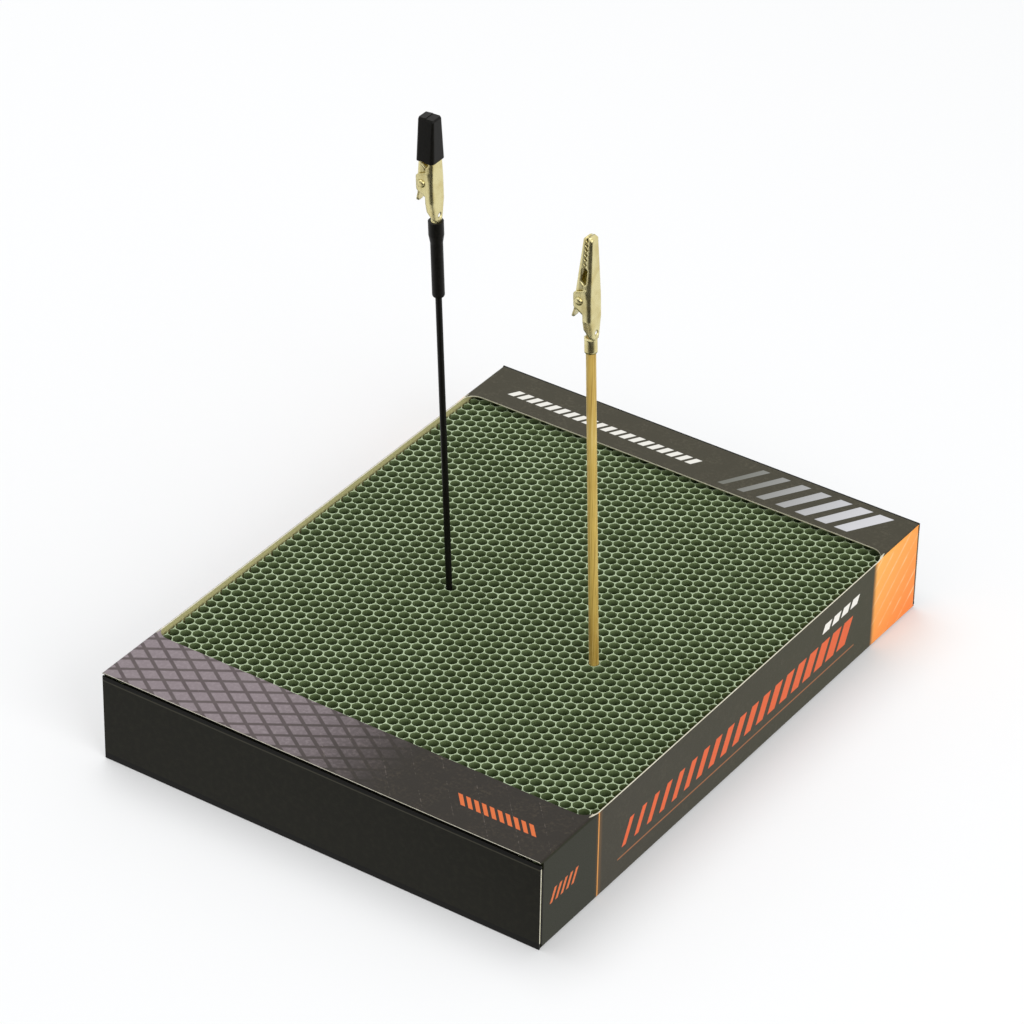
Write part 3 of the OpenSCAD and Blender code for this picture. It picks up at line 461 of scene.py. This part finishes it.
# Bamboo skewer: split bamboo turned round, its point down in the cell, its top pared into the barrel.
# Bamboo: straw yellow with brown fibre strands along the grain, unvarnished, with the pale sheen of loose
# fibres at its edges.
STRAND_WIDTH, STRAND_LENGTH, BLOTCH = 0.4167, 28.57, 20.0
bamboo, tree, mm = finish_named("turned_bamboo")
grain_place = add(tree, "Mapping", {0: mm, 3: (1 / STRAND_WIDTH, 1 / STRAND_WIDTH, 1 / STRAND_LENGTH)})
strands = add(tree, "TexNoise", {"Vector": grain_place, "Scale": 1.0, "Detail": 5.0, "Roughness": 0.6})
dark = add(tree, "MapRange", {0: strands, 1: 0.52, 2: 0.68})
pale = add(tree, "MapRange", {0: strands, 1: 0.46, 2: 0.3})
blotch = add(tree, "TexNoise", {"Vector": mm, "Scale": 1 / BLOTCH, "Detail": 2.0})
blotch = add(tree, "MapRange", {0: blotch, 1: 0.45, 2: 0.65})
colour = painted(tree, linear("#c9aa50"), (blotch, "#b8943c"), (dark, "#94742b"), (pale, "#dac27a"))
rough = add(tree, "MapRange", {0: strands, 1: 0.3, 2: 0.7, 3: 0.5, 4: 0.7})
bump = add(tree, "Bump", {"Strength": 0.4, "Distance": 0.00006, "Height": strands})
surface(tree, Base_Color=colour, Roughness=rough, Normal=bump, Sheen_Weight=0.6, Sheen_Roughness=0.4,
        Sheen_Tint=linear("#fff2c0"))
dress(bamboo, "bamboo_stick")


# Spring clips: jaws stamped from thin steel sheet, bent to channels with toothed edges, riveted
# through their ears and plated; the fixed jaw's barrel is crimped on the rod.
# Bright brass-tinted nickel plate: a pale champagne metal, smooth, with drawn lines along the sheet, coarser
# than real ones so that they show, and a soft glint on its bends.
LINE_WIDTH, LINE_LENGTH, TARNISH, BEND_RADIUS = 0.3333, 4.0, 4.0, 0.0009
plate, tree, mm = finish_named("champagne_nickel_plated_sheet")
drawn = add(tree, "Mapping", {0: mm, 3: (1 / LINE_WIDTH, 1 / LINE_WIDTH, 1 / LINE_LENGTH)})
drawn = add(tree, "TexNoise", {"Vector": drawn, "Scale": 1.0, "Detail": 3.0})
tarnish = add(tree, "TexNoise", {"Vector": mm, "Scale": 1 / TARNISH, "Detail": 2.0})
warm = add(tree, "MapRange", {0: tarnish, 1: 0.42, 2: 0.68})
colour = painted(tree, linear("#ded49f"), (warm, "#d0c288"))
rough = add(tree, "MapRange", {0: drawn, 1: 0.3, 2: 0.7, 3: 0.2, 4: 0.32})
bend = add(tree, "Bevel", {"Radius": BEND_RADIUS}, samples=8)
bump = add(tree, "Bump", {"Strength": 0.15, "Distance": 0.00003, "Height": drawn, "Normal": bend})
surface(tree, Base_Color=colour, Metallic=1.0, Roughness=rough, Normal=bump)
for clip in ("clip_a", "clip_b"):
    dress(plate, clip + "_fixed_jaw", clip + "_moving_jaw", clip + "_pivot_rivet")


# Torsion springs: hard-drawn spring wire wound twice round the rivet. One leg rests on the fixed jaw and
# the other on the thumb tail, so the coil winds up along the rivet as the jaw opens.
# Drawn wire: grey and half bright, with flecks coarser than real ones, so that they show.
FLECK = 0.3333
wire, tree, mm = finish_named("drawn_spring_wire")
flecks = add(tree, "TexNoise", {"Vector": mm, "Scale": 1 / FLECK, "Detail": 3.0})
dull = add(tree, "MapRange", {0: flecks, 1: 0.45, 2: 0.7})
colour = painted(tree, linear("#9a9a94"), (dull, "#7c7b76"))
rough = add(tree, "MapRange", {0: flecks, 1: 0.3, 2: 0.7, 3: 0.28, 4: 0.42})
surface(tree, Base_Color=colour, Metallic=1.0, Roughness=rough)

# each is the imported solid with its points joined, so that it shades smoothly
LEG_ROOM, SAME_POINT = 0.55e-3, 1e-7
for clip, fixed_body, moving_body in (("clip_a", "rod", "jaw_a"), ("clip_b", "stick", "jaw_b")):
    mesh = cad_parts[clip + "_spring"].data.copy()
    joined = bmesh.new()
    joined.from_mesh(mesh)
    bmesh.ops.remove_doubles(joined, verts=joined.verts[:], dist=SAME_POINT)
    joined.to_mesh(mesh)
    joined.free()
    mesh.materials.clear()
    mesh.materials.append(wire)
    mesh.polygons.foreach_set("use_smooth", np.ones(len(mesh.polygons), bool))
    coil = bpy.data.objects.new(clip + "_coil", mesh)
    bpy.context.scene.collection.objects.link(coil)
    low, high = (np.array(corner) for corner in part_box(clip + "_spring"))
    middle = (low + high) / 2
    end = (middle[0], high[1] - LEG_ROOM, middle[2])
    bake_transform(coil)
    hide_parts(clip + "_spring")


# Studio: a white floor that keeps a soft shadow and fades far off into a white surround, and two wide soft
# lamps. In front of the object the floor turns dark to glossy rays only: a painted dark reflection, which the
# plated metal mirrors. To the eye it stays white.
FLOOR_HALF, FLOOR_Z = 3.0, -0.0002
TO_CAMERA, DARK_REFLECTION_FROM, DARK_REFLECTION_TO = (0.557, -0.83, 0.0), 115.0, 190.0
FADE_FROM, FADE_TO = 450.0, 1500.0
RAY_KINDS = (0, 3, 6)  # the camera, glossy and transmission outputs
floor_white, tree, mm = finish_named("white_studio_floor")
white = add(tree, "BsdfDiffuse", {"Color": linear("#f7f8f9")})
ahead = add(tree, "VectorMath", {0: mm, 1: TO_CAMERA}, out=1, operation="DOT_PRODUCT")
# painted dark reflection: to glossy rays the floor in front fades to near black
painted_dark_reflection = add(tree, "MapRange", {0: ahead, 1: DARK_REFLECTION_FROM, 2: DARK_REFLECTION_TO, 3: 1.0, 4: 0.06},
           interpolation_type="SMOOTHSTEP")
camera_ray, glossy_ray, through_ray = (add(tree, "LightPath", out=i) for i in RAY_KINDS)
mirrored = add(tree, "Math", {0: glossy_ray, 1: through_ray}, operation="MAXIMUM")
strength = add(tree, "Mix", {0: mirrored, 2: 1.0, 3: painted_dark_reflection})
shine = add(tree, "Emission", {"Color": (1.0, 1.0, 1.0, 1.0), "Strength": strength})
away = add(tree, "VectorMath", {0: mm}, out=1, operation="LENGTH")
glow = add(tree, "MapRange", {0: away, 1: FADE_FROM, 2: FADE_TO, 3: 0.25, 4: 1.0},
           interpolation_type="SMOOTHSTEP")
lifted = add(tree, "Math", {0: camera_ray, 1: glow, 2: mirrored}, operation="MULTIPLY_ADD")
add(tree, "OutputMaterial", {0: add(tree, "MixShader", {0: lifted, 1: white, 2: shine})})
floor_mesh = bpy.data.meshes.new("floor")
corners = [(-1, -1), (1, -1), (1, 1), (-1, 1)]
floor_mesh.from_pydata([(FLOOR_HALF * a, FLOOR_HALF * b, FLOOR_Z) for a, b in corners], [], [(0, 1, 2, 3)])
floor_mesh.materials.append(floor_white)
floor = bpy.data.objects.new("floor", floor_mesh)
bpy.context.scene.collection.objects.link(floor)

# White surround: full white to the eye and in mirrors, and half that as light.
world = bpy.data.worlds.new("studio")
bpy.context.scene.world = world
world.use_nodes = True
tree = world.node_tree
tree.nodes.clear()
camera_ray, glossy_ray, through_ray = (add(tree, "LightPath", out=i) for i in RAY_KINDS)
seen = add(tree, "Math", {0: camera_ray, 1: glossy_ray}, operation="MAXIMUM")
seen = add(tree, "Math", {0: seen, 1: through_ray}, operation="MAXIMUM")
level = add(tree, "MapRange", {0: seen, 3: 0.5, 4: 1.0})
add(tree, "OutputWorld", {0: add(tree, "Background", {"Color": (1.0, 1.0, 1.0, 1.0), "Strength": level})})

# Lamps: two square soft boxes, one above on the left and one low on the right, both turned to the middle.
LAMP_SIZE, LAMP_POWER = 1.2, 14.0
for name, at in (("key", (-0.5, 0.2, 1.6)), ("fill", (1.5, -0.6, 0.8))):
    lamp = bpy.data.lights.new(name, "AREA")
    lamp.size = LAMP_SIZE
    lamp.energy = LAMP_POWER
    light = bpy.data.objects.new(name, lamp)
    light.matrix_world = Matrix.Translation(at) @ (-Vector(at)).to_track_quat("-Z", "Y").to_matrix().to_4x4()
    bpy.context.scene.collection.objects.link(light)

# Camera: the photograph's view, from the front right and above, with a long lens.
AZIMUTH, ELEVATION, ROLL = np.radians([33.83, 33.96, 1.09])
DISTANCE, FOCAL_PX, IMAGE_PX, SENSOR = 1.49801, 4871.12, 1024, 36.0
TARGET = np.array([-0.05147, 0.07124, 0.0])
level_share = np.cos(ELEVATION)
back = np.array([np.sin(AZIMUTH) * level_share, -np.cos(AZIMUTH) * level_share, np.sin(ELEVATION)])
right = np.array([np.cos(AZIMUTH), np.sin(AZIMUTH), 0.0])
up = np.cross(back, right)
right, up = np.cos(ROLL) * right + np.sin(ROLL) * up, np.cos(ROLL) * up - np.sin(ROLL) * right
lens = bpy.data.cameras.new("camera")
lens.sensor_width = SENSOR
lens.lens = FOCAL_PX / IMAGE_PX * SENSOR
lens.clip_end = 20.0
camera = bpy.data.objects.new("camera", lens)
turn = np.eye(4)
turn[:3, 0], turn[:3, 1], turn[:3, 2], turn[:3, 3] = right, up, back, TARGET + back * DISTANCE
camera.matrix_world = Matrix(turn.tolist())
bpy.context.scene.collection.objects.link(camera)
bpy.context.scene.camera = camera
bpy.context.scene.view_settings.view_transform = "Standard"
